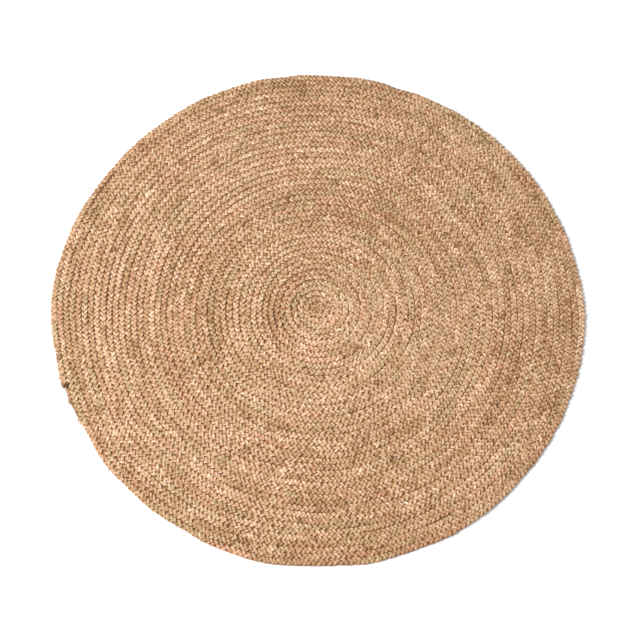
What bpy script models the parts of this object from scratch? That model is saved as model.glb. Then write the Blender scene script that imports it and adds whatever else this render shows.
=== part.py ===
"""A round jute rug: one flat three-strand plait, wound outwards in a spiral and laced edge to edge.

The plait starts in a small folded knot at the centre, makes one full turn after another, and ends in a
thin tail that is bound with thread and tucked against the rim. Each full turn is one object, cut where
the next begins. The rug lies on the plane z = 0, its spiral is centred on the Z axis, and it winds
outwards counter-clockwise as seen from above. Sizes are in metres and angles in radians.
"""

import math

import bmesh
import bpy
from mathutils import Vector

# Driving dimensions.
RUG_DIAMETER = 1.2
BRAID_WIDTH = 0.0133
BRAID_THICKNESS = 0.009
BRAID_EDGE = 0.00335          # how far the rounded edge reaches in from each side of the plait
START_KNOT_RADIUS = 0.008     # the tightest bend that the plait starts with
TAIL_LENGTH = 0.085
TAIL_TIP_WIDTH = 0.0052
THREAD_DIAMETER = 0.0018
BINDING_THREAD_DIAMETER = 0.0011
BINDING_TURNS = 5
BINDING_PITCH = 0.0016
BINDING_FROM_TIP = 0.012      # from the tip of the tail back to the middle of its binding
CLEARANCE = 0.0003            # between pieces that touch
END_ANGLE = math.radians(198)  # where the last full turn ends and the tail begins

# How finely the round shapes are cut.
STEPS_PER_TURN = 20
TAIL_STEPS = 5
SECTION_CORNERS = 6

# Derived sizes.
ROW_PITCH = BRAID_WIDTH + CLEARANCE
RIM_RADIUS = RUG_DIAMETER / 2 + ROW_PITCH / 2
ROW_COUNT = math.floor((RIM_RADIUS - START_KNOT_RADIUS) / ROW_PITCH) - 1
KNOT_RADIUS = RIM_RADIUS - (ROW_COUNT + 1) * ROW_PITCH
BINDING_ROOM = BINDING_THREAD_DIAMETER + 2 * CLEARANCE
QUARTER_TURN = math.pi / 2
STEP_ANGLE = 2 * math.pi / STEPS_PER_TURN

JUTE = {"name": "jute_braid", "colour": (0.558, 0.337, 0.195, 1.0), "roughness": 0.92}
TWINE = {"name": "jute_thread", "colour": (0.474, 0.308, 0.171, 1.0), "roughness": 0.88}


def clear_scene():
    """Remove every object, and leave the file that this runs from open."""
    for item in list(bpy.data.objects):
        bpy.data.objects.remove(item, do_unlink=True)


def material(finish):
    """Return a Principled material for one finish."""
    made = bpy.data.materials.new(finish["name"])
    made.use_nodes = True
    shader = made.node_tree.nodes["Principled BSDF"]
    shader.inputs["Base Color"].default_value = finish["colour"]
    shader.inputs["Roughness"].default_value = finish["roughness"]
    shader.inputs["Metallic"].default_value = 0.0
    made.diffuse_color = finish["colour"]
    return made


def inner_edge(turn):
    """Radius of the plait's inner edge, a number of turns after the first row starts."""
    return KNOT_RADIUS + CLEARANCE + ROW_PITCH * turn


def flat_point(radius, angle, height=0.0):
    """A point given by its distance from the axis, its angle and its height."""
    return Vector((radius * math.cos(angle), radius * math.sin(angle), height))


def place_mesh(bm, name, finish, collection):
    """Turn a bmesh body into an object with its faces outwards."""
    bm.normal_update()
    bmesh.ops.recalc_face_normals(bm, faces=bm.faces[:])
    mesh = bpy.data.meshes.new(name)
    bm.to_mesh(mesh)
    bm.free()
    mesh.materials.append(finish)
    made = bpy.data.objects.new(name, mesh)
    collection.objects.link(made)
    return made


def braid_section(bm):
    """Add the plait's cross-section in the XZ plane: flat above and below, rounded to an edge at each side."""
    across = BRAID_WIDTH - BRAID_EDGE
    outline = (
        (0.0, BRAID_THICKNESS / 2), (BRAID_EDGE, 0.0), (across, 0.0),
        (BRAID_WIDTH, BRAID_THICKNESS / 2), (across, BRAID_THICKNESS), (BRAID_EDGE, BRAID_THICKNESS),
    )
    section = bmesh.ops.create_circle(bm, cap_ends=True, segments=SECTION_CORNERS, radius=BRAID_WIDTH / 2)
    for corner, (radial, height) in zip(section["verts"], outline):
        corner.co = (RIM_RADIUS + radial, 0.0, height)


def wind_braid(name, finish, collection, first_turn, sweep, steps, taper=None):
    """Spin the plait's section into a quarter ring, then open it out along the spiral.

    first_turn is where the piece starts, in whole turns of the spiral, and sweep is its angle. It starts
    a clearance after the end of the piece before it. taper gives the width, the thickness and the
    stand-off from the row inside, at each share of the way along.
    """
    bm = bmesh.new()
    braid_section(bm)
    bmesh.ops.spin(
        bm, geom=bm.verts[:] + bm.edges[:] + bm.faces[:], cent=(0, 0, 0), axis=(0, 0, 1),
        dvec=(0, 0, 0), angle=QUARTER_TURN, steps=steps, use_merge=False, use_duplicate=False,
    )
    seam = CLEARANCE / inner_edge(first_turn)
    for corner in bm.verts:
        share = round(math.atan2(corner.co.y, corner.co.x) / QUARTER_TURN * steps) / steps
        across = (math.hypot(corner.co.x, corner.co.y) - RIM_RADIUS) / BRAID_WIDTH
        level = corner.co.z / BRAID_THICKNESS - 0.5
        width, thickness, stand_off = BRAID_WIDTH, BRAID_THICKNESS, 0.0
        if taper:
            width, thickness, stand_off = taper(share)
        along = max(seam, share * sweep)
        radius = inner_edge(first_turn + along / (2 * math.pi)) + stand_off + across * width
        corner.co = flat_point(radius, END_ANGLE + along, BRAID_THICKNESS / 2 + level * thickness)
    return place_mesh(bm, name, finish, collection)


def braid_row(number, finish, collection):
    """One full turn of the plait."""
    name = f"braid_row_{number:02d}"
    return wind_braid(name, finish, collection, number - 1, 2 * math.pi, STEPS_PER_TURN)


def braid_start(finish, collection):
    """The folded start of the plait: a small snail-shaped knot whose end face meets the first row."""
    bm = bmesh.new()
    corners = []
    for step in range(STEPS_PER_TURN + 1):
        radius = KNOT_RADIUS + ROW_PITCH * step / STEPS_PER_TURN - BRAID_EDGE
        corners.append(bm.verts.new(flat_point(radius, END_ANGLE + step * STEP_ANGLE)))
    layer = bm.faces.new(corners)
    for outwards in (BRAID_EDGE, -BRAID_EDGE):
        raised = bmesh.ops.extrude_face_region(bm, geom=[layer, *layer.edges, *layer.verts])["geom"]
        layer = next(item for item in raised if isinstance(item, bmesh.types.BMFace))
        for corner in layer.verts:
            flat = Vector((corner.co.x, corner.co.y, 0.0))
            corner.co += flat.normalized() * outwards
            corner.co.z += BRAID_THICKNESS / 2
    return place_mesh(bm, "braid_start", finish, collection)


def tail_taper(share):
    """The tail's width, thickness and stand-off from the rim, at a share of its length.

    It narrows all the way, and by half its length it has thinned to leave the binding's room all round.
    """
    width = BRAID_WIDTH + (TAIL_TIP_WIDTH - BRAID_WIDTH) * share
    room = BINDING_ROOM * min(1.0, 2 * share)
    return width, BRAID_THICKNESS - 2 * room, room


def tail_angle():
    """The angle that the tail covers along the rim."""
    return TAIL_LENGTH / RIM_RADIUS


def braid_tail(finish, collection):
    """The tapered end of the plait, tucked against the rim."""
    return wind_braid("braid_tail", finish, collection, ROW_COUNT, tail_angle(), TAIL_STEPS, tail_taper)


def thread_curve(name, points, diameter, resolution, finish, collection):
    """A thread through a list of points, as a round-bevelled curve with closed ends."""
    curve = bpy.data.curves.new(name, "CURVE")
    curve.dimensions = "3D"
    curve.twist_mode = "Z_UP"
    curve.bevel_depth = diameter / 2
    curve.bevel_resolution = resolution
    curve.use_fill_caps = True
    spline = curve.splines.new("POLY")
    spline.points.add(len(points) - 1)
    for target, place in zip(spline.points, points):
        target.co = (*place, 1.0)
    curve.materials.append(finish)
    made = bpy.data.objects.new(name, curve)
    collection.objects.link(made)
    return made


def lacing_thread(finish, collection):
    """The thread that laces each row to the one inside it, deep in the groove between them underneath."""
    groove_slope = (BRAID_THICKNESS / 2) / BRAID_EDGE
    groove_half_width = THREAD_DIAMETER / 2 + CLEARANCE
    height = BRAID_THICKNESS / 2 - (groove_half_width - CLEARANCE / 2) * groove_slope
    points = []
    for step in range(1, ROW_COUNT * STEPS_PER_TURN):
        radius = inner_edge(step / STEPS_PER_TURN) - CLEARANCE / 2
        points.append(flat_point(radius, END_ANGLE + step * STEP_ANGLE, height))
    return thread_curve("lacing_thread", points, THREAD_DIAMETER, 0, finish, collection)


def binding_corner(corner, width, thickness):
    """Where the binding passes one of the six corners of the tail's section, a clearance outside it."""
    half_width, half_height = width / 2, thickness / 2
    edge = BRAID_EDGE * width / BRAID_WIDTH
    proud = CLEARANCE + BINDING_THREAD_DIAMETER / 2
    wide = half_width + proud * math.hypot(edge, half_height) / half_height
    high = half_height + proud
    narrow = wide - high * edge / half_height
    ring = ((wide, 0), (narrow, high), (-narrow, high), (-wide, 0), (-narrow, -high), (narrow, -high))
    return ring[corner % SECTION_CORNERS]


def tail_binding(finish, collection):
    """The thread wound round the tail near its tip, one straight run along each side of the section."""
    points = []
    for step in range(BINDING_TURNS * SECTION_CORNERS + 1):
        from_middle = BINDING_PITCH * (step / SECTION_CORNERS - BINDING_TURNS / 2)
        share = 1 + (from_middle - BINDING_FROM_TIP) / TAIL_LENGTH
        width, thickness, stand_off = tail_taper(share)
        across, vertical = binding_corner(step, width, thickness)
        along = share * tail_angle()
        radius = inner_edge(ROW_COUNT + along / (2 * math.pi)) + stand_off + width / 2 + across
        points.append(flat_point(radius, END_ANGLE + along, BRAID_THICKNESS / 2 + vertical))
    return thread_curve("tail_binding", points, BINDING_THREAD_DIAMETER, 1, finish, collection)


def build():
    """Model the whole rug in a collection of its own."""
    clear_scene()
    collection = bpy.data.collections.new("braided_jute_rug")
    bpy.context.scene.collection.children.link(collection)
    jute, twine = material(JUTE), material(TWINE)
    braid_start(jute, collection)
    for number in range(1, ROW_COUNT + 1):
        braid_row(number, jute, collection)
    braid_tail(jute, collection)
    lacing_thread(twine, collection)
    tail_binding(twine, collection)


build()
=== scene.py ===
"""A round jute rug, dressed strand by strand.

The frame gives the rug as rows of plain plait. Here every row is made again as the three strands it is
plaited from, crossing over and under each other, row after row from the knot at the centre to the bound
tail at the rim. The lacing thread, the binding at the tail and the loose hairs of jute are made round
them. Sizes are in metres and angles in radians. A "turn" counts rows outwards from where row 1 starts,
and a "run" is the distance along the plait from its inner end.
"""

import logging
import math
from dataclasses import dataclass, field
from enum import Enum

import bpy
import numpy as np
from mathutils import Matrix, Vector


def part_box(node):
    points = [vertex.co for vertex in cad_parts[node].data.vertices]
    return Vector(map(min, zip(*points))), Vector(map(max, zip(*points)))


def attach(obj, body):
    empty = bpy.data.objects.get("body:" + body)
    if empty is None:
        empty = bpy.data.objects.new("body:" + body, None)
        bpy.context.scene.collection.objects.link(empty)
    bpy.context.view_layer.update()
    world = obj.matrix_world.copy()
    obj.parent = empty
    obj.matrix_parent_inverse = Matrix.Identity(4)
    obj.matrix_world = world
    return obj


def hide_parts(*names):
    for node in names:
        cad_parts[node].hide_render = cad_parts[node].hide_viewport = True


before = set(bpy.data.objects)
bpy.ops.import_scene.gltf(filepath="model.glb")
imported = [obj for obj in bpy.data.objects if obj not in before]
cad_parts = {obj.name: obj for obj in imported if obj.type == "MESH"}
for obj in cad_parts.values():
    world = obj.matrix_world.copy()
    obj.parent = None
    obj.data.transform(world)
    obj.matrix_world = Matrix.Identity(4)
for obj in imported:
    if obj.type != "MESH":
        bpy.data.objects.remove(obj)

LOG = logging.getLogger("jute_rug")
FULL_TURN = 2 * math.pi
SEED = 4317
END_ANGLE = math.radians(198)   # where every row ends and the next begins
ROW_GAP = 0.0003                # between neighbouring rows of the frame
WELD = 1e-6                     # points nearer than this are one point, as at a tube's closed end
SMOOTH_UP_TO = math.radians(75)
FIBRE_APART = 5.0               # between the fibre patterns of two strands
KNOT_PLACE = 0.4                # of the knot's pattern, as a share of that
JUTE_DEPTH = (1.0, 1.28, 1.70)  # how fast red, green and blue fall as jute gets darker: it browns
Colour = tuple[float, float, float]
TWINE: Colour = (0.50, 0.32, 0.19)


class Slot(Enum):
    """The record's material slots."""

    BRAID = "jute_braid"
    THREAD = "jute_thread"


class Streak(Enum):
    """The scales of the fibre pattern.

    Each is how often the pattern changes along a strand and round it, per metre, and its detail.
    """

    LOCK = (85.0, 430.0, 1.5)
    FIBRE = (60.0, 1500.0, 3.5)
    PATCH = (22.0, 260.0, 2.0)


def around_axis(radius: np.ndarray, angle: np.ndarray, height: np.ndarray) -> np.ndarray:
    """Points given by their distance from the rug's axis, their angle and their height."""
    return np.stack([radius * np.cos(angle), radius * np.sin(angle), height], -1)


def pointed(sizes: np.ndarray) -> np.ndarray:
    """The same thickness shares, with both ends drawn out to a point."""
    return np.concatenate([[0.0], sizes[1:-1], [0.0]])


# --------------------------------------------------------------------------------------------------
# The line of the plait
# --------------------------------------------------------------------------------------------------


@dataclass(frozen=True)
class SpiralPath:
    """The line that the middle of the plait follows, from the centre of the rug outwards."""

    first_radius: float
    pitch: float
    rows: int
    width: float
    thickness: float
    tail_sweep: float
    inner_turn: float = -1.09

    @staticmethod
    def from_frame() -> "SpiralPath":
        """Read the spiral from the boxes of the frame's rows.

        Returns:
            The path whose rows lie where the frame's rows lie.
        """
        rows = sum(name.startswith("braid_row_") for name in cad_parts)
        _, last_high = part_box(f"braid_row_{rows:02d}")
        _, before_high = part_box(f"braid_row_{rows - 1:02d}")
        tail_low, tail_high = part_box("braid_tail")
        pitch = last_high.x - before_high.x
        width = pitch - ROW_GAP
        turns_to_x_axis = rows - END_ANGLE / FULL_TURN
        tail_end = math.atan2(tail_low.y, tail_high.x) % FULL_TURN
        return SpiralPath(
            first_radius=last_high.x - pitch * turns_to_x_axis - width / 2,
            pitch=pitch,
            rows=rows,
            width=width,
            thickness=last_high.z,
            tail_sweep=tail_end - END_ANGLE,
        )

    def radius(self, turn: np.ndarray | float) -> np.ndarray | float:
        """Distance of the plait's middle from the rug's axis."""
        return self.first_radius + self.pitch * turn

    def angle(self, turn: np.ndarray | float) -> np.ndarray | float:
        """Angle round the rug's axis."""
        return END_ANGLE + FULL_TURN * turn

    def run(self, turn: np.ndarray | float) -> np.ndarray | float:
        """Length of plait from its inner end to a turn."""
        return FULL_TURN * (self._wound(turn) - self._wound(self.inner_turn))

    def turn_at(self, run: np.ndarray | float) -> np.ndarray | float:
        """The turn at a length of plait from its inner end."""
        reach = self.first_radius**2 + 2 * self.pitch * (run / FULL_TURN + self._wound(self.inner_turn))
        return (np.sqrt(reach) - self.first_radius) / self.pitch

    def _wound(self, turn: np.ndarray | float) -> np.ndarray | float:
        """Length of plait from where row 1 starts to a turn, for each radian of a full turn."""
        return self.first_radius * turn + self.pitch * turn**2 / 2

    @property
    def last_turn(self) -> float:
        """The turn at which the tail ends."""
        return self.rows + self.tail_sweep / FULL_TURN


@dataclass(frozen=True)
class Wander:
    """How the rows stray from a true spiral, as low waves over the whole rug.

    Each wave has a length, a heading, a phase and a reach. Neighbouring rows stray together.
    """

    waves: tuple[tuple[float, float, float, float], ...]
    calm_radius: float = 0.15  # within which the rows stray less and less towards the centre
    roll: float = 0.0007       # how far a hump of the rug stands off the floor, for each unit of its waves

    @staticmethod
    def seeded(rng: np.random.Generator) -> "Wander":
        """Draw the waves.

        Args:
            rng: The source of the draws.

        Returns:
            The drawn wander.
        """
        lengths = (0.95, 0.62, 0.41, 0.33, 0.24, 0.19, 0.15, 0.12)
        middling_length, middling_reach = 0.5, 0.0011
        waves = []
        for length in lengths:
            reach = middling_reach * (length / middling_length) ** 0.5
            waves.append((length, rng.uniform(0, FULL_TURN), rng.uniform(0, FULL_TURN), reach))
        return Wander(tuple(waves))

    def outwards(self, x: np.ndarray, y: np.ndarray) -> np.ndarray:
        """How far the rows stray outwards, nothing at the very centre.

        Args:
            x: The places' first coordinates.
            y: Their second coordinates.

        Returns:
            A distance for each place.
        """
        total = np.zeros_like(x)
        for length, heading, phase, reach in self.waves:
            along = x * math.cos(heading) + y * math.sin(heading)
            total += reach * np.sin(FULL_TURN * along / length + phase)
        return total * np.clip(np.hypot(x, y) / self.calm_radius, 0, 1)

    def lift(self, x: np.ndarray, y: np.ndarray) -> np.ndarray:
        """How far the rug stands off the floor, where it has not gone quite flat.

        Args:
            x: The places' first coordinates.
            y: Their second coordinates.

        Returns:
            A height for each place, nothing where the rug lies flat.
        """
        humps = np.sin(x * 9.0 + 0.6) * np.sin(y * 7.0 + 1.9)
        ridges = 0.6 * np.sin(x * 4.1 - y * 11.3)
        share_off_floor = 0.9
        return self.roll * np.clip(humps + ridges + share_off_floor, 0, None)


class Drift:
    """A smooth random line: values at an even spacing, eased from one to the next."""

    def __init__(self, rng: np.random.Generator, length: float, spacing: float) -> None:
        """Draw the values.

        Args:
            rng: The source of the draws.
            length: How long the line is.
            spacing: The distance between drawn values.
        """
        self.spacing = spacing
        self.values = rng.uniform(-1, 1, int(length / spacing) + 3)

    def at(self, run: np.ndarray) -> np.ndarray:
        """Read the line.

        Args:
            run: Where along the plait.

        Returns:
            The line's value, from -1 to 1, at each run.
        """
        place = np.asarray(run) / self.spacing
        first = np.clip(np.floor(place).astype(int), 0, len(self.values) - 2)
        share = place - first
        eased = share * share * (3 - 2 * share)
        return self.values[first] + (self.values[first + 1] - self.values[first]) * eased


# --------------------------------------------------------------------------------------------------
# Finishes
# --------------------------------------------------------------------------------------------------


def jute_level(level: np.ndarray | float) -> np.ndarray:
    """The colour multiple that makes jute lighter or darker: dark fibre is browner, light fibre paler.

    Args:
        level: How light the fibre is, 1 for the base colour.

    Returns:
        A colour multiple for each level.
    """
    return np.asarray(level)[..., None] ** np.array(JUTE_DEPTH)


@dataclass(frozen=True)
class Shade:
    """One colour that jute fibre comes in, as a multiple of the base, and how common it is."""

    tone: Colour
    share: float
    fleck: bool = False  # whether it comes in short lengths only


@dataclass(frozen=True)
class JuteColours:
    """The mixed fibre of the strands: the base colour and the shades that the bundles come in."""

    base: Colour = (0.617, 0.405, 0.246)
    straw: Shade = Shade((1.15, 1.22, 1.30), 0.22)
    tan: Shade = Shade((1.0, 1.0, 1.0), 0.38)
    rose: Shade = Shade((1.03, 0.90, 0.93), 0.15)
    moss: Shade = Shade((0.86, 0.965, 0.88), 0.11)
    umber: Shade = Shade((0.80, 0.73, 0.64), 0.105)
    ash: Shade = Shade((1.16, 1.34, 1.70), 0.004, fleck=True)
    bark: Shade = Shade((0.40, 0.29, 0.20), 0.03, fleck=True)
    shortest_bundle: float = 0.010
    usual_bundle: float = 0.035     # on top of the shortest
    longest_fleck: float = 0.016
    spare: float = 1.6              # how many more bundles are drawn than would usually be needed
    uneven_level: float = 0.07      # how much lighter or darker one bundle is than the next
    level_limits: tuple[float, float] = (0.6, 1.4)

    def shades(self) -> tuple[Shade, ...]:
        """Every shade, in a fixed order."""
        return (self.straw, self.tan, self.rose, self.moss, self.umber, self.ash, self.bark)

    def track(self, rng: np.random.Generator, run: np.ndarray) -> np.ndarray:
        """Colour one bundle of fibre along its run, one length of fibre after another.

        Args:
            rng: The source of the draws.
            run: Where along the plait the colour is wanted.

        Returns:
            A colour for each run, as multiples of the base.
        """
        length = float(run.max()) + 1.0
        count = int(length / self.usual_bundle * self.spare) + 8
        lengths = self.shortest_bundle + rng.exponential(self.usual_bundle, count)
        tones = np.array([shade.tone for shade in self.shades()])
        shares = np.array([shade.share for shade in self.shades()])
        picks = rng.choice(len(tones), size=count, p=shares / shares.sum())
        flecks = np.array([shade.fleck for shade in self.shades()])[picks]
        lengths[flecks] = np.minimum(lengths[flecks], self.longest_fleck)
        levels = np.clip(1 + rng.normal(0, self.uneven_level, count), *self.level_limits)
        colours = tones[picks] * jute_level(levels)
        chosen = np.clip(np.searchsorted(np.cumsum(lengths), run), 0, count - 1)
        return colours[chosen]


@dataclass(frozen=True)
class RowTone:
    """How light the plait is, row by row: batches of fibre differ.

    Each anchor is a turn and the lightness there.
    """

    anchors: tuple[tuple[float, float], ...] = (
        (-1.0, 0.84), (0.3, 0.88), (1.5, 1.06), (3.0, 1.06), (4.6, 0.99), (8.0, 1.03), (13.0, 1.03),
        (19.0, 0.985), (26.0, 1.03), (29.0, 1.0), (38.0, 0.98), (40.0, 0.94), (44.0, 0.93),
    )

    def at(self, turn: np.ndarray) -> np.ndarray:
        """The lightness at each turn."""
        turns, levels = zip(*self.anchors)
        return np.interp(turn, turns, levels)


@dataclass(frozen=True)
class FibreFinish:
    """The look of spun or plaited jute: its colour comes from the piece, its streaks from here."""

    name: str
    base: Colour
    locks: tuple[float, float] = (0.84, 1.12)        # how light the darkest and the lightest lock is
    fibres: tuple[float, float] = (0.66, 1.26)       # and the darkest and the lightest fibre
    noise_range: tuple[float, float] = (0.34, 0.66)  # the noise values that those stand for
    warm_patch: Colour = (1.03, 0.98, 0.92)          # multiples of the base, in patches
    cool_patch: Colour = (0.96, 1.02, 1.06)
    roughness: tuple[float, float] = (0.94, 0.72)    # between the fibres, and on top of them
    specular: float = 0.12
    sheen: float = 0.08
    sheen_roughness: float = 0.5
    sheen_tint: Colour = (1.0, 0.80, 0.58)
    bump: float = 0.75
    relief: float = 0.0016

    def material(self) -> bpy.types.Material:
        """Build the material.

        Returns:
            A material that reads the piece's "tint" and "fibre" attributes.
        """
        made = bpy.data.materials.new(self.name)
        made.use_nodes = True
        tree = made.node_tree
        shader = tree.nodes["Principled BSDF"]
        shader.inputs["Specular IOR Level"].default_value = self.specular
        shader.inputs["Sheen Weight"].default_value = self.sheen
        shader.inputs["Sheen Roughness"].default_value = self.sheen_roughness
        shader.inputs["Sheen Tint"].default_value = (*self.sheen_tint, 1.0)
        place = tree.nodes.new("ShaderNodeAttribute")
        place.attribute_name = "fibre"
        tint = tree.nodes.new("ShaderNodeAttribute")
        tint.attribute_name = "tint"
        lock = self._streaks(tree, place, Streak.LOCK)
        fibre = self._streaks(tree, place, Streak.FIBRE)
        patch = self._streaks(tree, place, Streak.PATCH)
        both = self._average(tree, lock, fibre)
        locks = self._shade(tree, lock, self.locks)
        fibres = self._shade(tree, fibre, self.fibres)
        light = self._multiply(tree, locks, fibres)
        base = np.array(self.base)
        hue = self._blend(tree, patch, base * self.warm_patch, base * self.cool_patch)
        dyed = self._multiply(tree, hue, tint.outputs["Color"])
        lit = self._multiply(tree, dyed, light)
        tree.links.new(lit, shader.inputs["Base Color"])
        rough = tree.nodes.new("ShaderNodeMapRange")
        rough.inputs["To Min"].default_value, rough.inputs["To Max"].default_value = self.roughness
        tree.links.new(both, rough.inputs["Value"])
        tree.links.new(rough.outputs["Result"], shader.inputs["Roughness"])
        raised = tree.nodes.new("ShaderNodeBump")
        raised.inputs["Strength"].default_value = self.bump
        raised.inputs["Distance"].default_value = self.relief
        tree.links.new(both, raised.inputs["Height"])
        tree.links.new(raised.outputs["Normal"], shader.inputs["Normal"])
        return made

    def _streaks(
        self, tree: bpy.types.NodeTree, place: bpy.types.Node, scale: Streak
    ) -> bpy.types.NodeSocket:
        """Add noise drawn out along the fibres.

        Args:
            tree: The material's nodes.
            place: The attribute node that gives the place on the strand.
            scale: How fine the streaks are.

        Returns:
            The noise's value.
        """
        along, across, detail = scale.value
        stretch = tree.nodes.new("ShaderNodeVectorMath")
        stretch.operation = "MULTIPLY"
        stretch.inputs[1].default_value = (along, across, across)
        tree.links.new(place.outputs["Vector"], stretch.inputs[0])
        noise = tree.nodes.new("ShaderNodeTexNoise")
        noise.inputs["Scale"].default_value = 1.0
        noise.inputs["Detail"].default_value = detail
        tree.links.new(stretch.outputs["Vector"], noise.inputs["Vector"])
        return noise.outputs["Fac"]

    def _shade(
        self, tree: bpy.types.NodeTree, value: bpy.types.NodeSocket, levels: tuple[float, float]
    ) -> bpy.types.NodeSocket:
        """Turn a noise value into a colour multiple that runs from dark jute to light.

        Args:
            tree: The material's nodes.
            value: The noise's value.
            levels: How light the jute is where the value is low, and where it is high.

        Returns:
            The colour multiple.
        """
        spread = tree.nodes.new("ShaderNodeMapRange")
        spread.inputs["From Min"].default_value, spread.inputs["From Max"].default_value = self.noise_range
        tree.links.new(value, spread.inputs["Value"])
        dark, light = levels
        return self._blend(tree, spread.outputs["Result"], jute_level(dark), jute_level(light))

    def _blend(
        self, tree: bpy.types.NodeTree, value: bpy.types.NodeSocket, first: np.ndarray, second: np.ndarray
    ) -> bpy.types.NodeSocket:
        """Run from one colour to another as a value goes from 0 to 1.

        Args:
            tree: The material's nodes.
            value: The value.
            first: The colour at 0.
            second: The colour at 1.

        Returns:
            The colour between them.
        """
        blend = tree.nodes.new("ShaderNodeMix")
        blend.data_type = "RGBA"
        blend.inputs["A"].default_value = (*first, 1.0)
        blend.inputs["B"].default_value = (*second, 1.0)
        tree.links.new(value, blend.inputs["Factor"])
        return blend.outputs["Result"]

    def _average(
        self, tree: bpy.types.NodeTree, first: bpy.types.NodeSocket, second: bpy.types.NodeSocket
    ) -> bpy.types.NodeSocket:
        """Take the value halfway between two values.

        Args:
            tree: The material's nodes.
            first: One value.
            second: The other value.

        Returns:
            The value halfway between them.
        """
        mix = tree.nodes.new("ShaderNodeMix")
        mix.data_type = "FLOAT"
        mix.inputs["Factor"].default_value = 0.5
        tree.links.new(first, mix.inputs["A"])
        tree.links.new(second, mix.inputs["B"])
        return mix.outputs["Result"]

    def _multiply(
        self, tree: bpy.types.NodeTree, first: bpy.types.NodeSocket, second: bpy.types.NodeSocket
    ) -> bpy.types.NodeSocket:
        """Multiply two colours, or a colour by a value.

        Args:
            tree: The material's nodes.
            first: One colour.
            second: The other colour, or the value.

        Returns:
            Their product.
        """
        times = tree.nodes.new("ShaderNodeVectorMath")
        times.operation = "MULTIPLY"
        tree.links.new(first, times.inputs[0])
        tree.links.new(second, times.inputs[1])
        return times.outputs["Vector"]


# --------------------------------------------------------------------------------------------------
# Tubes
# --------------------------------------------------------------------------------------------------


@dataclass
class Tube:
    """One length of strand, thread or hair: its middle line, thickness, colour and place in the fibre.

    line is a point for each ring and sizes a thickness share for each ring. twist is how far the fibre
    has turned at each ring, run how far along it is, and tints a colour for each point of each ring.
    locks is how far each point of each ring stands out, as a share, where locks of fibre do.
    """

    line: np.ndarray
    sizes: np.ndarray
    run: np.ndarray
    twist: np.ndarray
    tints: np.ndarray
    locks: np.ndarray | None = None


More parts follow.
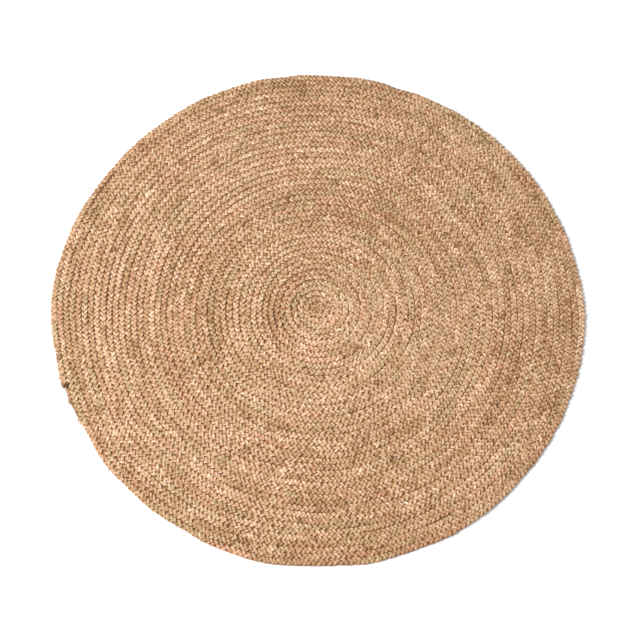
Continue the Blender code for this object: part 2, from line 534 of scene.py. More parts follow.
@dataclass(frozen=True)
class TubeSection:
    """The oval that a tube is cut to: half its width, half its height and the number of sides."""

    half_width: float
    half_height: float
    sides: int = 8

    @property
    def reach(self) -> float:
        """How far the section's outline is from its middle, on average."""
        return (self.half_width + self.half_height) / 2

    def curve(self) -> bpy.types.Object:
        """Make the section as a closed curve that other curves are bevelled with.

        Returns:
            The curve's object.
        """
        bpy.ops.object.select_all(action="DESELECT")
        bpy.ops.curve.primitive_bezier_circle_add()
        oval = bpy.context.object
        oval.name = "section"
        oval.data.splines.clear()
        ring = oval.data.splines.new("POLY")
        ring.points.add(self.sides - 1)
        for index, point in enumerate(ring.points):
            angle = self.angle(index)
            point.co = (self.half_width * math.cos(angle), self.half_height * math.sin(angle), 0.0, 1.0)
        ring.use_cyclic_u = True
        return oval

    def angle(self, index: np.ndarray | int) -> np.ndarray | float:
        """The angle of one of the section's points."""
        return FULL_TURN * index / self.sides

    def build(self, name: str, tubes: list[Tube], material: bpy.types.Material) -> bpy.types.Object:
        """Sweep the section along every tube, and join them as one piece.

        Args:
            name: The piece's name.
            tubes: The tubes.
            material: The piece's finish.

        Returns:
            The finished mesh object.
        """
        oval = self.curve()
        curve = bpy.data.curves.new(name, "CURVE")
        curve.dimensions = "3D"
        curve.twist_mode = "Z_UP"
        curve.bevel_mode = "OBJECT"
        curve.bevel_object = oval
        for tube in tubes:
            spline = curve.splines.new("POLY")
            spline.points.add(len(tube.line) - 1)
            places = np.ones((len(tube.line), 4), np.float32)
            places[:, :3] = tube.line
            spline.points.foreach_set("co", places.ravel())
            spline.points.foreach_set("radius", tube.sizes.astype(np.float32))
        piece = bpy.data.objects.new(name, curve)
        bpy.context.scene.collection.objects.link(piece)
        bpy.ops.object.select_all(action="DESELECT")
        piece.select_set(True)
        bpy.context.view_layer.objects.active = piece
        bpy.ops.object.convert(target="MESH")
        piece = bpy.context.object
        bpy.data.objects.remove(oval)
        self._dress(piece, tubes, material)
        return piece

    def _dress(self, piece: bpy.types.Object, tubes: list[Tube], material: bpy.types.Material) -> None:
        """Give a swept piece its finish, its attributes, its flat map and its closed ends.

        Args:
            piece: The swept mesh object.
            tubes: The tubes that it was swept from, in order.
            material: Its finish.
        """
        mesh = piece.data
        mesh.materials.clear()
        mesh.materials.append(material)
        rings = sum(len(tube.line) for tube in tubes)
        if len(mesh.vertices) != rings * self.sides:
            raise ValueError(f"{piece.name} has {len(mesh.vertices)} points and not {rings * self.sides}")
        self._raise_locks(mesh, tubes)
        around = self.angle(np.arange(self.sides))
        fibre, tint = [], []
        for tube in tubes:
            turned = around[None, :] + tube.twist[:, None]
            along = np.repeat(tube.run[:, None], self.sides, axis=1)
            places = np.stack([along, self.reach * np.cos(turned), self.reach * np.sin(turned)], -1)
            fibre.append(places.reshape(-1, 3))
            tint.append(tube.tints.reshape(-1, 3))
        where = mesh.attributes.new("fibre", "FLOAT_VECTOR", "POINT")
        where.data.foreach_set("vector", np.concatenate(fibre).astype(np.float32).ravel())
        dye = mesh.attributes.new("tint", "FLOAT_COLOR", "POINT")
        colours = np.concatenate(tint)
        colours = np.hstack([colours, np.ones((len(colours), 1))])
        dye.data.foreach_set("color", colours.astype(np.float32).ravel())
        self._lay_out(mesh, tubes)
        bpy.ops.object.mode_set(mode="EDIT")
        bpy.ops.mesh.select_all(action="SELECT")
        bpy.ops.mesh.remove_doubles(threshold=WELD)
        bpy.ops.mesh.normals_make_consistent(inside=False)
        bpy.ops.object.mode_set(mode="OBJECT")
        bpy.ops.object.shade_smooth_by_angle(angle=SMOOTH_UP_TO)

    def _raise_locks(self, mesh: bpy.types.Mesh, tubes: list[Tube]) -> None:
        """Push each point of each ring out or in from the tube's middle, where locks of fibre stand out.

        Nothing is pushed through the floor.

        Args:
            mesh: The swept mesh, still in the order of its rings.
            tubes: The tubes that it was swept from.
        """
        places = np.zeros(len(mesh.vertices) * 3, np.float32)
        mesh.vertices.foreach_get("co", places)
        places = places.reshape(-1, self.sides, 3)
        first = 0
        for tube in tubes:
            last = first + len(tube.line)
            if tube.locks is not None:
                middle = tube.line[:, None, :]
                places[first:last] = middle + (places[first:last] - middle) * (1 + tube.locks[..., None])
                places[first:last, :, 2] = np.maximum(places[first:last, :, 2], 0.0)
            first = last
        mesh.vertices.foreach_set("co", places.ravel())

    def _lay_out(self, mesh: bpy.types.Mesh, tubes: list[Tube]) -> None:
        """Lay the tubes out flat, end to end, in lanes side by side.

        Args:
            mesh: The swept mesh, still in the order of its rings.
            tubes: The tubes that it was swept from.
        """
        steps = [np.linalg.norm(np.diff(tube.line, axis=0), axis=1) for tube in tubes]
        steps = [np.maximum(step, self.half_width / 2) for step in steps]
        longest = max(float(step.max()) for step in steps)
        starts, begin = [], 0.0
        for step in steps:
            starts.append(begin + np.concatenate([[0.0], np.cumsum(step)]))
            begin = float(starts[-1][-1]) + longest
        along = np.concatenate(starts)
        girth = FULL_TURN * self.reach
        lanes = max(1, round(math.sqrt(begin / girth)))
        lane_length = begin / lanes
        count = len(mesh.polygons)
        corners = np.zeros(len(mesh.loops), np.int32)
        mesh.loops.foreach_get("vertex_index", corners)
        corners = corners.reshape(count, 4)
        ring, side = corners // self.sides, (corners % self.sides).astype(float)
        side[(side == 0) & (side.max(axis=1, keepdims=True) == self.sides - 1)] = self.sides
        place = along[ring]
        lane = np.minimum(np.floor(place.min(axis=1, keepdims=True) / lane_length), lanes - 1)
        side_margin, end_margin = 0.06, 0.004
        u = (lane + side_margin + (1 - 2 * side_margin) * side / self.sides) / lanes
        v = end_margin + (1 - 2 * end_margin) * (place - lane * lane_length) / (lane_length + longest)
        layer = mesh.uv_layers.get("UVMap") or mesh.uv_layers.new(name="UVMap")
        layer.name = "OFBake"
        layer.data.foreach_set("uv", np.stack([u, v], -1).astype(np.float32).ravel())


# --------------------------------------------------------------------------------------------------
# The plait
# --------------------------------------------------------------------------------------------------


@dataclass(frozen=True)
class DriftSpacing:
    """How far apart along the plait the drawn values of each kind of unevenness lie."""

    pace: float = 0.11
    spread: float = 0.09
    stray: float = 0.05
    parting: float = 0.04
    fullness: float = 0.021
    slack: float = 0.023
    loft: float = 0.012
    lock: float = 0.022
    nub: float = 0.0075
    tone: float = 0.35


@dataclass(frozen=True)
class TailShape:
    """How the plait narrows and sinks where its last row ends and its tail begins, with painted shade in the
    notch there.

    places are shares of the tail's length, and widths the tail's width there as a share of the plait's.
    """

    places: tuple[float, ...] = (0.0, 0.07, 0.45, 0.58, 1.0)
    widths: tuple[float, ...] = (1.0, 0.58, 0.60, 0.42, 0.18)
    grip_lead: float = 0.2          # how far before the tail it starts to keep to the row inside, as a share
    tuck: float = 0.0006            # how far the tail is pressed in against that row
    sink: float = 0.35              # how much lower its middle comes to lie
    sunk_at: float = 0.5
    swell: float = 0.22             # how much fuller the plait is just before its tail
    swell_lead: float = 0.005       # how far before the tail that is
    swell_length: float = 0.007
    notch_shade: float = 0.86             # painted shade: how much darker the notch is painted where the tail begins
    notch_shade_run: float = 0.0015
    notch_shade_length: float = 0.005

    def past(self, turn: np.ndarray, path: SpiralPath) -> np.ndarray:
        """How far past the last row a turn is, as a share of the tail, and below 0 before it."""
        return (turn - path.rows) / (path.last_turn - path.rows)

    def fullness(self, past_row: np.ndarray) -> np.ndarray:
        """How much fuller the plait is, by its run past the last row."""
        return self.swell * np.exp(-(((past_row + self.swell_lead) / self.swell_length) ** 2))

    def light(self, past_row: np.ndarray) -> np.ndarray:
        """How light the plait is painted, by its run past the last row: painted shade in the notch where the
        tail begins.
        """
        return 1 - self.notch_shade * np.exp(-(((past_row - self.notch_shade_run) / self.notch_shade_length) ** 2))


@dataclass(frozen=True)
class KnotShape:
    """The strands' own ends, knotted together at the centre.

    Each end winds a little more than once round the centre, in a folded loop that rises and dips.
    """

    width: float = 0.019
    rings: int = 30
    tone: Colour = (0.88, 0.76, 0.72)
    wound: float = 1.1              # turns that each end makes
    across: tuple[float, float] = (0.75, 0.35)
    along: tuple[float, float] = (0.62, 0.30)
    lean: float = 0.5               # how far the loop leans, in radians
    rise: float = 0.0026
    size: float = 0.82              # of the strand's thickness
    swell: float = 0.14
    length: float = 0.07            # of each end
    twist: float = 9.0              # of its fibres, in radians
    outer_reach: float = 0.02       # how far out the knot pulls the rows oval
    oval: float = 0.12              # by how much

    def line(self, share: np.ndarray, offset: float, level: float) -> tuple[np.ndarray, np.ndarray]:
        """Where one end goes.

        Args:
            share: How far along the end, from 0 to 1.
            offset: Its place among the three, as an angle.
            level: The height that it winds round.

        Returns:
            A point and a thickness share for each place.
        """
        swept = FULL_TURN * self.wound * share + offset
        wide, lobe = self.across
        x = self.width / 2 * (wide * np.cos(swept) + lobe * np.cos(3 * swept - offset))
        deep, fold = self.along
        y = self.width / 2 * (deep * np.sin(swept + self.lean) + fold * np.sin(2 * swept + offset))
        z = level + self.rise * np.sin(3 * swept + 2 * offset)
        sizes = self.size + self.swell * np.sin(5 * swept)
        return np.stack([x, y, z], -1), pointed(sizes)

    def stretch(self, radius: np.ndarray) -> np.ndarray:
        """How much the rows near the knot are drawn out, by their distance from the axis."""
        return 1 + self.oval * np.exp(-((radius / self.outer_reach) ** 2))


@dataclass
class Plait:
    """The three-strand flat plait, drawn as strands that swing from edge to edge and over each other."""

    path: SpiralPath
    wander: Wander
    colours: JuteColours = field(default_factory=JuteColours)
    tone: RowTone = field(default_factory=RowTone)
    spacing: DriftSpacing = DriftSpacing()
    tail: TailShape = TailShape()
    knot: KnotShape = KnotShape()
    section: TubeSection = TubeSection(half_width=0.00304, half_height=0.00205)
    strands: int = 3
    swing: float = 0.00510          # how far a strand swings to each side of the middle
    haste: float = 0.22             # how much steeper it crosses on top than underneath
    tight: float = 0.91             # its swing in the tight turns round the centre, as a share
    tight_turns: tuple[float, float] = (8.0, 13.0)  # between which that ends
    rise: float = 0.0026            # how far it rises and dips
    tilt: float = 0.0005            # how far the row's inner edge stands above its middle
    cycle: float = 0.032            # from one swing to the next of the same strand
    rings_per_cycle: int = 12
    turn_length: float = 0.085      # in which the fibres of a strand twist once
    bundles: int = 4                # of fibre in a strand, each with its own colours
    shared_colour: tuple[float, float, float] = (0.52, 0.30, 0.18)  # by the plait, the strand, the bundle
    start_width: float = 0.6        # of the plait at its inner end, as a share
    full_width_turn: float = -0.2   # where it has its full width
    flare: float = 0.14             # how much thicker it is in the middle of the row than at the edges
    tip: float = 0.12               # length of a strand's closed end, as a share of a ring's step
    uneven_stray: float = 0.0003    # how far a row strays on its own
    uneven_parting: float = 0.0016  # how far it parts from the next row here and there
    uneven_pace: float = 0.45       # how far the whole plait's crossings come early or late, in cycles
    uneven_spread: float = 0.06     # how much wider or narrower the plait is
    uneven_reach: float = 0.10      # how much further or less far a strand swings
    reach_lag: float = 0.01         # how far behind its pull that comes
    uneven_size: float = 0.18       # how much a strand swells and thins
    uneven_pull: float = 0.50       # how far its crossings come early or late, in radians
    uneven_height: float = 0.00055  # how far it stands proud or sinks
    uneven_twist: float = 0.8       # how far its fibres turn to and fro, in radians
    uneven_lock: float = 0.23       # how far a lock of fibre stands out of its strand, as a share
    uneven_light: float = 0.12      # how much lighter or darker one crossing is than the next
    uneven_tone: float = 0.05       # how much lighter or darker one stretch of plait is than the next
    lock_light: float = 1.0         # painted shade and highlight: how much lighter a lock that stands out is painted than one that sinks
    facing_least: float = 0.02      # of a bundle's colour on the strand's far side
    facing_power: int = 3           # how sharply one bundle's colour gives way to the next
    deep: Colour = (0.67, 0.46, 0.29)  # painted shade: how much darker it is painted deep in the plait's thickness, where shade falls between the strands
    painted_highlight: Colour = (1.06, 1.05, 1.04)  # painted highlight: how much lighter it is painted on the tops, where the light falls
    deep_to: float = 0.12           # how far from the middle of its thickness the painted shade reaches, as a share
    deep_fade: float = 0.6          # and over how much more it fades

    def __post_init__(self) -> None:
        """Draw what is random about the plait, once for its whole length."""
        rng = np.random.default_rng(SEED)
        every = self.spacing
        length = self.path.run(self.path.last_turn) + 0.5
        self.row_end = float(self.path.run(self.path.rows))
        self.pace = Drift(rng, length, every.pace)
        self.spread = Drift(rng, length, every.spread)
        self.stray = Drift(rng, length, every.stray)
        self.parting = Drift(rng, length, every.parting)
        self.fullness = [Drift(rng, length, every.fullness) for _ in range(self.strands)]
        self.slack = [Drift(rng, length, every.slack) for _ in range(self.strands)]
        self.loft = [Drift(rng, length, every.loft) for _ in range(self.strands)]
        sides, bundles = range(self.section.sides), range(self.bundles)
        self.lock = [[Drift(rng, length, every.lock) for _ in sides] for _ in range(self.strands)]
        self.nub = [[Drift(rng, length, every.nub) for _ in bundles] for _ in range(self.strands)]
        self.tone_drift = Drift(rng, length, every.tone)
        colour_seeds = rng.integers(0, 2**31, (self.strands, self.bundles))
        self.grid = np.arange(0, length, self.cycle / self.rings_per_cycle)
        by_plait, by_strand, by_bundle = self.shared_colour
        batch = self.colours.track(rng, self.grid)
        self.tracks = []
        for seeds in colour_seeds:
            own = self.colours.track(rng, self.grid)
            made = [self.colours.track(np.random.default_rng(seed), self.grid) for seed in seeds]
            self.tracks.append([by_plait * batch + by_strand * own + by_bundle * bundle for bundle in made])

    def stations(self, first_turn: float, last_turn: float) -> np.ndarray:
        """Space rings evenly along a stretch of plait.

        Args:
            first_turn: Where the stretch starts.
            last_turn: Where it ends.

        Returns:
            The run of each ring, both ends of the stretch included.
        """
        first, last = self.path.run(first_turn), self.path.run(last_turn)
        count = max(2, round((last - first) / self.cycle * self.rings_per_cycle))
        return np.linspace(first, last, count + 1)

    def narrowing(self, turn: np.ndarray) -> tuple[np.ndarray, np.ndarray]:
        """How the plait narrows at its two ends.

        Args:
            turn: Where along the plait.

        Returns:
            The plait's width as a share of its full width, and how far its middle is drawn inwards.
        """
        start = np.interp(turn, (self.path.inner_turn, self.full_width_turn), (self.start_width, 1.0))
        past = np.clip(self.tail.past(turn, self.path), 0, 1)
        end = np.interp(past, self.tail.places, self.tail.widths)
        inwards = self.path.width * (1 - end) / 2
        return start * end, inwards

    def row_radius(self, run: np.ndarray) -> np.ndarray:
        """Where the rows lie, with their wander and each row's own straying.

        Args:
            run: Where along the plait.

        Returns:
            The distance of the plait's middle from the rug's axis.
        """
        turn = self.path.turn_at(run)
        angle, middle = self.path.angle(turn), self.path.radius(turn)
        wander = self.wander.outwards(middle * np.cos(angle), middle * np.sin(angle))
        own = self.uneven_stray * self.stray.at(run)
        return middle + wander + own + self.uneven_parting * self.parting.at(run) ** 3

    def middle(self, run: np.ndarray) -> tuple[np.ndarray, np.ndarray]:
        """Where the middle of the plait lies. The tail sinks and keeps against the row inside it.

        Args:
            run: Where along the plait.

        Returns:
            Its distance from the rug's axis and its height, before the rug's own lift.
        """
        turn = self.path.turn_at(run)
        _, inwards = self.narrowing(turn)
        free = self.row_radius(run)
        held = self.row_radius(np.maximum(self.path.run(turn - 1), 0.0)) + self.path.pitch
        past = self.tail.past(turn, self.path)
        grip = np.clip(1 + past / self.tail.grip_lead, 0, 1)
        sunk = self.tail.sink * np.clip(past / self.tail.sunk_at, 0, 1)
        height = self.path.thickness / 2 * (1 - sunk)
        return free + (held - free) * grip - inwards - self.tail.tuck * grip, height

    def strand_line(self, run: np.ndarray, strand: int) -> tuple[np.ndarray, np.ndarray]:
        """Where one strand goes.

        Args:
            run: Where along the plait.
            strand: Which strand.

        Returns:
            A point and a thickness share for each run.
        """
        turn = self.path.turn_at(run)
        share, _ = self.narrowing(turn)
        middle, height = self.middle(run)
        pace = self.uneven_pace * self.pace.at(run)
        phase = FULL_TURN * (run / self.cycle + pace + strand / self.strands)
        phase = phase + self.uneven_pull * self.slack[strand].at(run)
        phase = phase + self.haste * np.cos(2 * phase)
        late = self.slack[strand].at(run + self.reach_lag)
        swing = self.swing * (1 + self.uneven_spread * self.spread.at(run) + self.uneven_reach * late)
        swing = swing * np.interp(turn, self.tight_turns, (self.tight, 1.0))
        across = share * swing * np.sin(phase)
        height = height - share * (self.rise * np.sin(2 * phase) + self.tilt * np.sin(phase))
        height = height + self.uneven_height * self.loft[strand].at(run)
        fuller = 1 + self.tail.fullness(run - self.row_end)
        swell = self.uneven_size * self.fullness[strand].at(run)
        sizes = share * (1 + swell + self.flare * np.cos(2 * phase)) * fuller
        height = np.maximum(height, self.section.half_height * sizes)
        angle = self.path.angle(turn)
        height = height + self.wander.lift(middle * np.cos(angle), middle * np.sin(angle))
        line = around_axis(middle + across * fuller, angle, height)
        line[:, 0] *= self.knot.stretch(middle)
        return line, sizes

    def strand_tints(
        self, run: np.ndarray, twist: np.ndarray, height: np.ndarray, locks: np.ndarray, strand: int
    ) -> np.ndarray:
        """The colour of one strand's fibres, for each point of each ring, with painted shade deep in the
        plait and on sunk locks, and painted highlight on the tops and on locks that stand out.

        Args:
            run: Where along the plait.
            twist: How far the fibres have turned at each run.
            height: How high the strand's middle is at each run.
            locks: How far each point of each ring stands out, as a share.
            strand: Which strand.

        Returns:
            Colours, by ring and by point of the ring.
        """
        nearest = np.clip(np.rint(run / self.grid[1]).astype(int), 0, len(self.grid) - 1)
        points = self.section.angle(np.arange(self.section.sides))
        around = points[None, :] + twist[:, None]
        total, weight = 0.0, 0.0
        for bundle, track in enumerate(self.tracks[strand]):
            facing = np.cos(around - FULL_TURN * bundle / self.bundles)
            facing = np.clip(facing, self.facing_least, 1)[..., None] ** self.facing_power
            nub = jute_level(1 + self.uneven_light * self.nub[strand][bundle].at(run))
            total = total + facing * (track[nearest] * nub)[:, None, :]
            weight = weight + facing
        level = self.tone.at(self.path.turn_at(run)) * (1 + self.uneven_tone * self.tone_drift.at(run))
        # painted shade in the notch where the tail begins
        level = level * self.tail.light(run - self.row_end)
        # painted shade deep in the plait's thickness, between the strands, and painted highlight on its tops
        half = self.path.thickness / 2
        up = self.section.half_height * np.sin(points)
        outside = np.abs(height[:, None] + up[None, :] - half) / half
        highlight_share = np.clip((outside - self.deep_to) / self.deep_fade, 0, 1)
        deep, painted_highlight = np.array(self.deep), np.array(self.painted_highlight)
        painted_shading = deep + (painted_highlight - deep) * highlight_share[..., None]
        # painted shade on sunk locks of fibre, painted highlight on locks that stand out
        painted_lock_shade = jute_level(1 + self.lock_light * locks)
        return total / weight * jute_level(level)[:, None, :] * painted_shading * painted_lock_shade

    def tubes(self, first_turn: float, last_turn: float) -> list[Tube]:
        """The three strands of a stretch of plait, with pointed ends inside their neighbours.

        Args:
            first_turn: Where the stretch starts.
            last_turn: Where it ends.

        Returns:
            One tube for each strand.
        """
        run = self.stations(first_turn, last_turn)
        made = []
        for strand in range(self.strands):
            line, sizes = self.strand_line(run, strand)
            direction = 1 if strand % 2 else -1
            twist = direction * FULL_TURN * run / self.turn_length
            twist = twist + self.uneven_twist * self.fullness[strand].at(run)
            locks = self.uneven_lock * np.stack([lock.at(run) for lock in self.lock[strand]], -1)
            tints = self.strand_tints(run, twist, line[:, 2], locks, strand)
            before = line[:1] + self.tip * (line[:1] - line[1:2])
            after = line[-1:] + self.tip * (line[-1:] - line[-2:-1])
            made.append(
                Tube(
                    line=np.concatenate([before, line, after]),
                    sizes=np.concatenate([[0.0], sizes, [0.0]]),
                    run=np.concatenate([run[:1], run, run[-1:]]) + FIBRE_APART * strand,
                    twist=np.concatenate([twist[:1], twist, twist[-1:]]),
                    tints=np.concatenate([tints[:1], tints, tints[-1:]]),
                    locks=np.concatenate([locks[:1], locks, locks[-1:]]),
                )
            )
        return made

    def knot_tubes(self) -> list[Tube]:
        """The strands' own ends, knotted together and pulled tight in the middle of the first turn.

        Returns:
            One tube for each strand.
        """
        share = np.linspace(0, 1, self.knot.rings)
        run, twist = self.knot.length * share, self.knot.twist * share
        level = np.zeros((self.knot.rings, self.section.sides))
        made = []
        for strand in range(self.strands):
            offset = FULL_TURN * strand / self.strands
            line, sizes = self.knot.line(share, offset, self.path.thickness / 2)
            tints = self.strand_tints(run, twist, line[:, 2], level, strand) * np.array(self.knot.tone)
            made.append(Tube(line, sizes, run + FIBRE_APART * (strand + KNOT_PLACE), twist, tints))
        return made

    def build(self, material: bpy.types.Material) -> list[bpy.types.Object]:
        """Make the start, every row and the tail, each in its frame node's place.

        Args:
            material: The strands' finish.

        Returns:
            The pieces.
        """
        path = self.path
        stretches = [("braid_start", path.inner_turn, 0.0)]
        for row in range(1, path.rows + 1):
            stretches.append((f"braid_row_{row:02d}", row - 1.0, float(row)))
        stretches.append(("braid_tail", float(path.rows), path.last_turn))
        pieces = []
        for node, first_turn, last_turn in stretches:
            tubes = self.tubes(first_turn, last_turn)
            if first_turn < 0:
                tubes += self.knot_tubes()
            piece = self.section.build(f"{node}_strands", tubes, material)
            settle(piece, Slot.BRAID, node)
            pieces.append(piece)
        return pieces


# --------------------------------------------------------------------------------------------------
# Threads
# --------------------------------------------------------------------------------------------------


@dataclass
class LacingThread:
    """The thread that laces each row to the one inside it, to and fro through their touching edges."""

    plait: Plait
    section: TubeSection = TubeSection(half_width=0.0017, half_height=0.0010, sides=6)
    stitch: float = 0.026
    reach: float = 0.0007           # how far a stitch goes to each side of the groove
    height: float = 0.0028
    dip: float = 0.0005
    points_per_stitch: int = 4
    start: float = 0.06             # how far into the first row it starts, in turns
    stop: float = 0.04              # and how far before the end of the last it stops
    twist_length: float = 0.006     # in which the thread's ply turns once
    tone: Colour = (0.62, 0.50, 0.40)

    def build(self, material: bpy.types.Material) -> bpy.types.Object:
        """Make the thread as one piece.

        Args:
            material: The thread's finish.

        Returns:
            The thread.
        """
        path = self.plait.path
        first, last = path.run(self.start), path.run(path.rows - self.stop)
        count = int((last - first) / self.stitch) * self.points_per_stitch
        run = np.linspace(first, last, count + 1)
        turn = path.turn_at(run)
        share = FULL_TURN * np.arange(count + 1) / self.points_per_stitch
        angle = path.angle(turn)
        inside = np.maximum(path.run(turn - 1), 0.0)
        groove = (self.plait.row_radius(run) + self.plait.row_radius(inside)) / 2
        radius = groove + self.reach * np.sin(share)
        lift = self.plait.wander.lift(groove * np.cos(angle), groove * np.sin(angle))
        height = self.height + self.dip * np.cos(2 * share) + lift
        tints = np.tile(np.array(self.tone), (len(run), self.section.sides, 1))
        thread = Tube(
            line=around_axis(radius, angle, height),
            sizes=pointed(np.ones(len(run))),
            run=run,
            twist=run * FULL_TURN / self.twist_length,
            tints=tints,
        )
        piece = self.section.build("lacing_thread_spun", [thread], material)
        settle(piece, Slot.THREAD, "lacing_thread")
        return piece


@dataclass
class TailBinding:
    """The thread wound round the tail near its tip, so that the plait does not open."""

    plait: Plait
    diameter: float = 0.0011
    turns: int = 5
    lead: float = 0.0016
    from_tip: float = 0.012
    points_per_turn: int = 14
    bite: float = 0.1               # how far the thread sinks into the plait, as a share of its diameter
    fibre_step: float = 0.0012      # how far along its fibre pattern each point is
    twist_step: float = 0.9         # how far its ply turns from point to point, in radians
    tone: Colour = (0.74, 0.68, 0.62)

    def build(self, material: bpy.types.Material) -> bpy.types.Object:
        """Make the binding as one piece.

        Args:
            material: The thread's finish.

        Returns:
            The binding.
        """
        path = self.plait.path
        middle = path.run(path.last_turn) - self.from_tip
        step = np.arange(self.turns * self.points_per_turn + 1) / self.points_per_turn
        run = middle + self.lead * (step - self.turns / 2)
        turn = path.turn_at(run)
        share, _ = self.plait.narrowing(turn)
        angle = path.angle(turn)
        centre, level = self.plait.middle(run)
        around = FULL_TURN * step
        proud = self.diameter * (0.5 - self.bite)
        across = share * (self.plait.swing + self.plait.section.half_width) + proud
        rise = share * (self.plait.rise + self.plait.section.half_height) + proud
        radius = centre + across * np.cos(around)
        lift = self.plait.wander.lift(centre * np.cos(angle), centre * np.sin(angle))
        height = level + rise * np.sin(around) + lift
        section = TubeSection(self.diameter / 2, self.diameter / 2)
        count = np.arange(len(run))
        thread = Tube(
            line=around_axis(radius, angle, height),
            sizes=pointed(np.ones(len(run))),
            run=count * self.fibre_step,
            twist=count * self.twist_step,
            tints=np.tile(np.array(self.tone), (len(run), section.sides, 1)),
        )
        piece = section.build("tail_binding_thread", [thread], material)
        settle(piece, Slot.THREAD, "tail_binding")
        return piece


# --------------------------------------------------------------------------------------------------
# Loose hair
# --------------------------------------------------------------------------------------------------


@dataclass(frozen=True)
class Tuft:
    """Where a bundle of fibre ends and frays: how far past the last full row, and which way it points."""

    along: float
    heading: float
    length: float
    count: int
    thickness: float


@dataclass
class LooseHair:
    """Fine ends of jute that stand out of the plait, and the frayed tuft at the end of the tail."""

    plait: Plait
    count: int = 4200
    thickness: float = 0.00016
    rings: int = 6
    sides: int = 3
    first_run: float = 0.02         # how far along the plait the first hair may stand
    lengths: tuple[float, float] = (0.008, 0.024)
    stoutness: tuple[float, float] = (0.7, 1.7)       # as multiples of the thickness
    splay: float = 0.5              # how widely the hairs' headings vary, in radians
    curl: float = 0.9               # how far a single hair bends, in radians
    rooted: float = 0.0008          # how far below the top of its strand it starts
    lifts: tuple[float, float] = (0.0004, 0.0022)     # how far it arches up
    early: float = 0.8              # how early along its length the top of the arch is
    taper: float = 0.5              # how much of its thickness it loses by its tip
    lights: tuple[float, ...] = (1.22, 1.1, 0.92, 0.6)
    light_shares: tuple[float, ...] = (0.4, 0.3, 0.2, 0.1)
    tuft_spread: float = 0.003      # how far along the plait a tuft's hairs stand from its middle
    tuft_splay: float = 0.22
    tuft_lengths: tuple[float, float] = (0.6, 1.2)    # as multiples of the tuft's own
    tuft_stoutness: tuple[float, float] = (0.6, 1.3)
    tufts: tuple[Tuft, ...] = (
        Tuft(along=0.049, heading=-1.15, length=0.014, count=60, thickness=5.0),
        Tuft(along=0.078, heading=1.5, length=0.028, count=26, thickness=5.0),
        Tuft(along=0.001, heading=1.2, length=0.007, count=14, thickness=3.0),
    )

    def build(self, material: bpy.types.Material) -> bpy.types.Object:
        """Make the hairs as one piece.

        Args:
            material: Their finish.

        Returns:
            The hairs.
        """
        rng = np.random.default_rng(SEED + 7)
        section = TubeSection(self.thickness / 2, self.thickness / 2, sides=self.sides)
        tubes = []
        for _ in range(self.count):
            run = rng.uniform(self.first_run, self.plait.row_end)
            root = self._root(rng, run, 0.0)
            heading = self._along(run) + math.pi / 2 + rng.normal(0, self.splay)
            length, stoutness = rng.uniform(*self.lengths), rng.uniform(*self.stoutness)
            tubes.append(self._hair(rng, root, heading, length, stoutness))
        for tuft in self.tufts:
            run = self.plait.row_end + tuft.along
            for _ in range(tuft.count):
                root = self._root(rng, run, self.tuft_spread)
                heading = self._along(run) + tuft.heading + rng.normal(0, self.tuft_splay)
                length = tuft.length * rng.uniform(*self.tuft_lengths)
                stoutness = tuft.thickness * rng.uniform(*self.tuft_stoutness)
                tubes.append(self._hair(rng, root, heading, length, stoutness))
        piece = section.build("loose_hair", tubes, material)
        settle(piece, Slot.BRAID)
        return piece

    def _root(self, rng: np.random.Generator, run: float, spread: float) -> np.ndarray:
        """Pick a strand for a hair to grow from.

        Args:
            rng: The source of the draws.
            run: Where along the plait.
            spread: How far from there it may be, nothing for exactly there.

        Returns:
            The middle of the strand at that place.
        """
        strand = int(rng.integers(self.plait.strands))
        place = run + rng.uniform(-spread, spread) if spread else run
        line, _ = self.plait.strand_line(np.array([place]), strand)
        return line[0]

    def _along(self, run: float) -> float:
        """The angle round the rug's axis at a run."""
        return float(self.plait.path.angle(self.plait.path.turn_at(run)))

    def _hair(
        self, rng: np.random.Generator, root: np.ndarray, heading: float, length: float, thickness: float
    ) -> Tube:
        """Curl one hair out of a strand.

        Args:
            rng: The source of the draws.
            root: The middle of the strand that it grows from.
            heading: The way that it sets off, as an angle seen from above.
            length: How long it is.
            thickness: How thick it is, as a multiple of a single hair.

        Returns:
            The hair.
        """
        bend = rng.normal(0, self.curl) / thickness
        share = np.linspace(0, 1, self.rings)
        course = heading + bend * share
        step = length / (self.rings - 1)
        x = root[0] + np.concatenate([[0], np.cumsum(np.cos(course[:-1]) * step)])
        y = root[1] + np.concatenate([[0], np.cumsum(np.sin(course[:-1]) * step)])
        top = root[2] + self.plait.section.half_height
        lift = rng.uniform(*self.lifts)
        z = top - self.rooted + lift * np.sin(math.pi * share**self.early)
        light = rng.choice(self.lights, p=self.light_shares)
        return Tube(
            line=np.stack([x, y, z], -1),
            sizes=pointed(thickness * (1 - self.taper * share)),
            run=share * length,
            twist=np.zeros(self.rings),
            tints=np.full((self.rings, self.sides, 3), light),
        )


# --------------------------------------------------------------------------------------------------
# The studio
# --------------------------------------------------------------------------------------------------


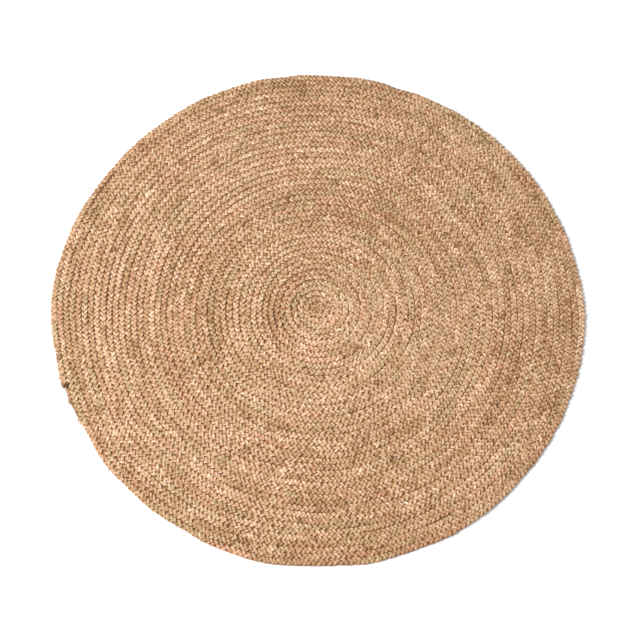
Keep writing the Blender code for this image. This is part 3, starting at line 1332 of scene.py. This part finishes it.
@dataclass
class Studio:
    """A plain pale floor, soft light and the camera."""

    aim: tuple[float, float, float] = (0.0025, -0.0249, 0.0)
    distance: float = 3.9
    elevation: float = math.radians(68.6)
    lens: float = 96.6
    floor_size: float = 160.0
    floor_level: float = -0.0002
    floor_grey: float = 0.93
    sky: float = 0.66
    lamp_place: tuple[float, float, float] = (-3.55, -0.6, 4.2)
    lamp_size: float = 1.6
    lamp_power: float = 285.0       # in watts

    def build(self) -> None:
        """Set up the floor, the lights, the sky and the camera."""
        self._floor()
        self._sky()
        self._lamp()
        self._camera()
        bpy.context.scene.view_settings.view_transform = "Standard"

    def _floor(self) -> None:
        """Lay the floor."""
        bpy.ops.object.select_all(action="DESELECT")
        bpy.ops.mesh.primitive_plane_add(size=self.floor_size, location=(0, 0, self.floor_level))
        floor = bpy.context.object
        floor.name = "studio_floor"
        paper = bpy.data.materials.new("studio_paper")
        paper.use_nodes = True
        shader = paper.node_tree.nodes["Principled BSDF"]
        shader.inputs["Base Color"].default_value = (self.floor_grey, self.floor_grey, self.floor_grey, 1.0)
        shader.inputs["Roughness"].default_value = 0.9
        shader.inputs["Specular IOR Level"].default_value = 0.1
        floor.data.materials.append(paper)

    def _sky(self) -> None:
        """Fill the surroundings with even pale light."""
        world = bpy.data.worlds.new("studio_light")
        bpy.context.scene.world = world
        world.use_nodes = True
        background = world.node_tree.nodes["Background"]
        background.inputs["Color"].default_value = (1.0, 1.0, 1.0, 1.0)
        background.inputs["Strength"].default_value = self.sky

    def _lamp(self) -> None:
        """Hang one soft light that faces the rug."""
        data = bpy.data.lights.new("key_light", "AREA")
        data.shape = "DISK"
        data.size = self.lamp_size
        data.energy = self.lamp_power
        lamp = bpy.data.objects.new("key_light", data)
        bpy.context.scene.collection.objects.link(lamp)
        lamp.location = self.lamp_place
        lamp.rotation_euler = (-Vector(self.lamp_place)).to_track_quat("-Z", "Y").to_euler()

    def _camera(self) -> None:
        """Place the camera in front of the rug, looking down at it."""
        data = bpy.data.cameras.new("camera")
        data.lens = self.lens
        data.sensor_width = 36.0
        camera = bpy.data.objects.new("camera", data)
        bpy.context.scene.collection.objects.link(camera)
        back = Vector((0.0, -math.cos(self.elevation), math.sin(self.elevation)))
        camera.location = Vector(self.aim) + back * self.distance
        camera.rotation_euler = (-back).to_track_quat("-Z", "Y").to_euler()
        bpy.context.scene.camera = camera


# --------------------------------------------------------------------------------------------------
# Assembly
# --------------------------------------------------------------------------------------------------


def settle(piece: bpy.types.Object, slot: Slot, *nodes: str) -> None:
    """Fix a finished piece to the rug's body, in place of the frame's nodes that it stands for.

    Args:
        piece: The finished piece.
        slot: The record's material slot for its finish; not used.
        nodes: The frame's nodes that it replaces.
    """
    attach(piece, "root")
    if nodes:
        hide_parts(*nodes)


def report(pieces: list[bpy.types.Object]) -> None:
    """Log each piece with the number of its faces."""
    for piece in pieces:
        LOG.info("%s: %d faces", piece.name, len(piece.data.polygons))


def main() -> None:
    """Build the whole rug and its studio."""
    logging.basicConfig(level=logging.INFO, format="%(message)s")
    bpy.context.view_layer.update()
    colours = JuteColours()
    jute = FibreFinish("jute_strand", colours.base).material()
    twine = FibreFinish("jute_twine", TWINE, bump=0.8).material()
    path = SpiralPath.from_frame()
    LOG.info("%d rows, %.2f mm apart", path.rows, path.pitch * 1000)
    plait = Plait(path, Wander.seeded(np.random.default_rng(SEED + 1)), colours)
    pieces = plait.build(jute)
    pieces.append(LacingThread(plait).build(twine))
    pieces.append(TailBinding(plait).build(twine))
    pieces.append(LooseHair(plait).build(jute))
    report(pieces)
    Studio().build()


if __name__ == "__main__":
    main()
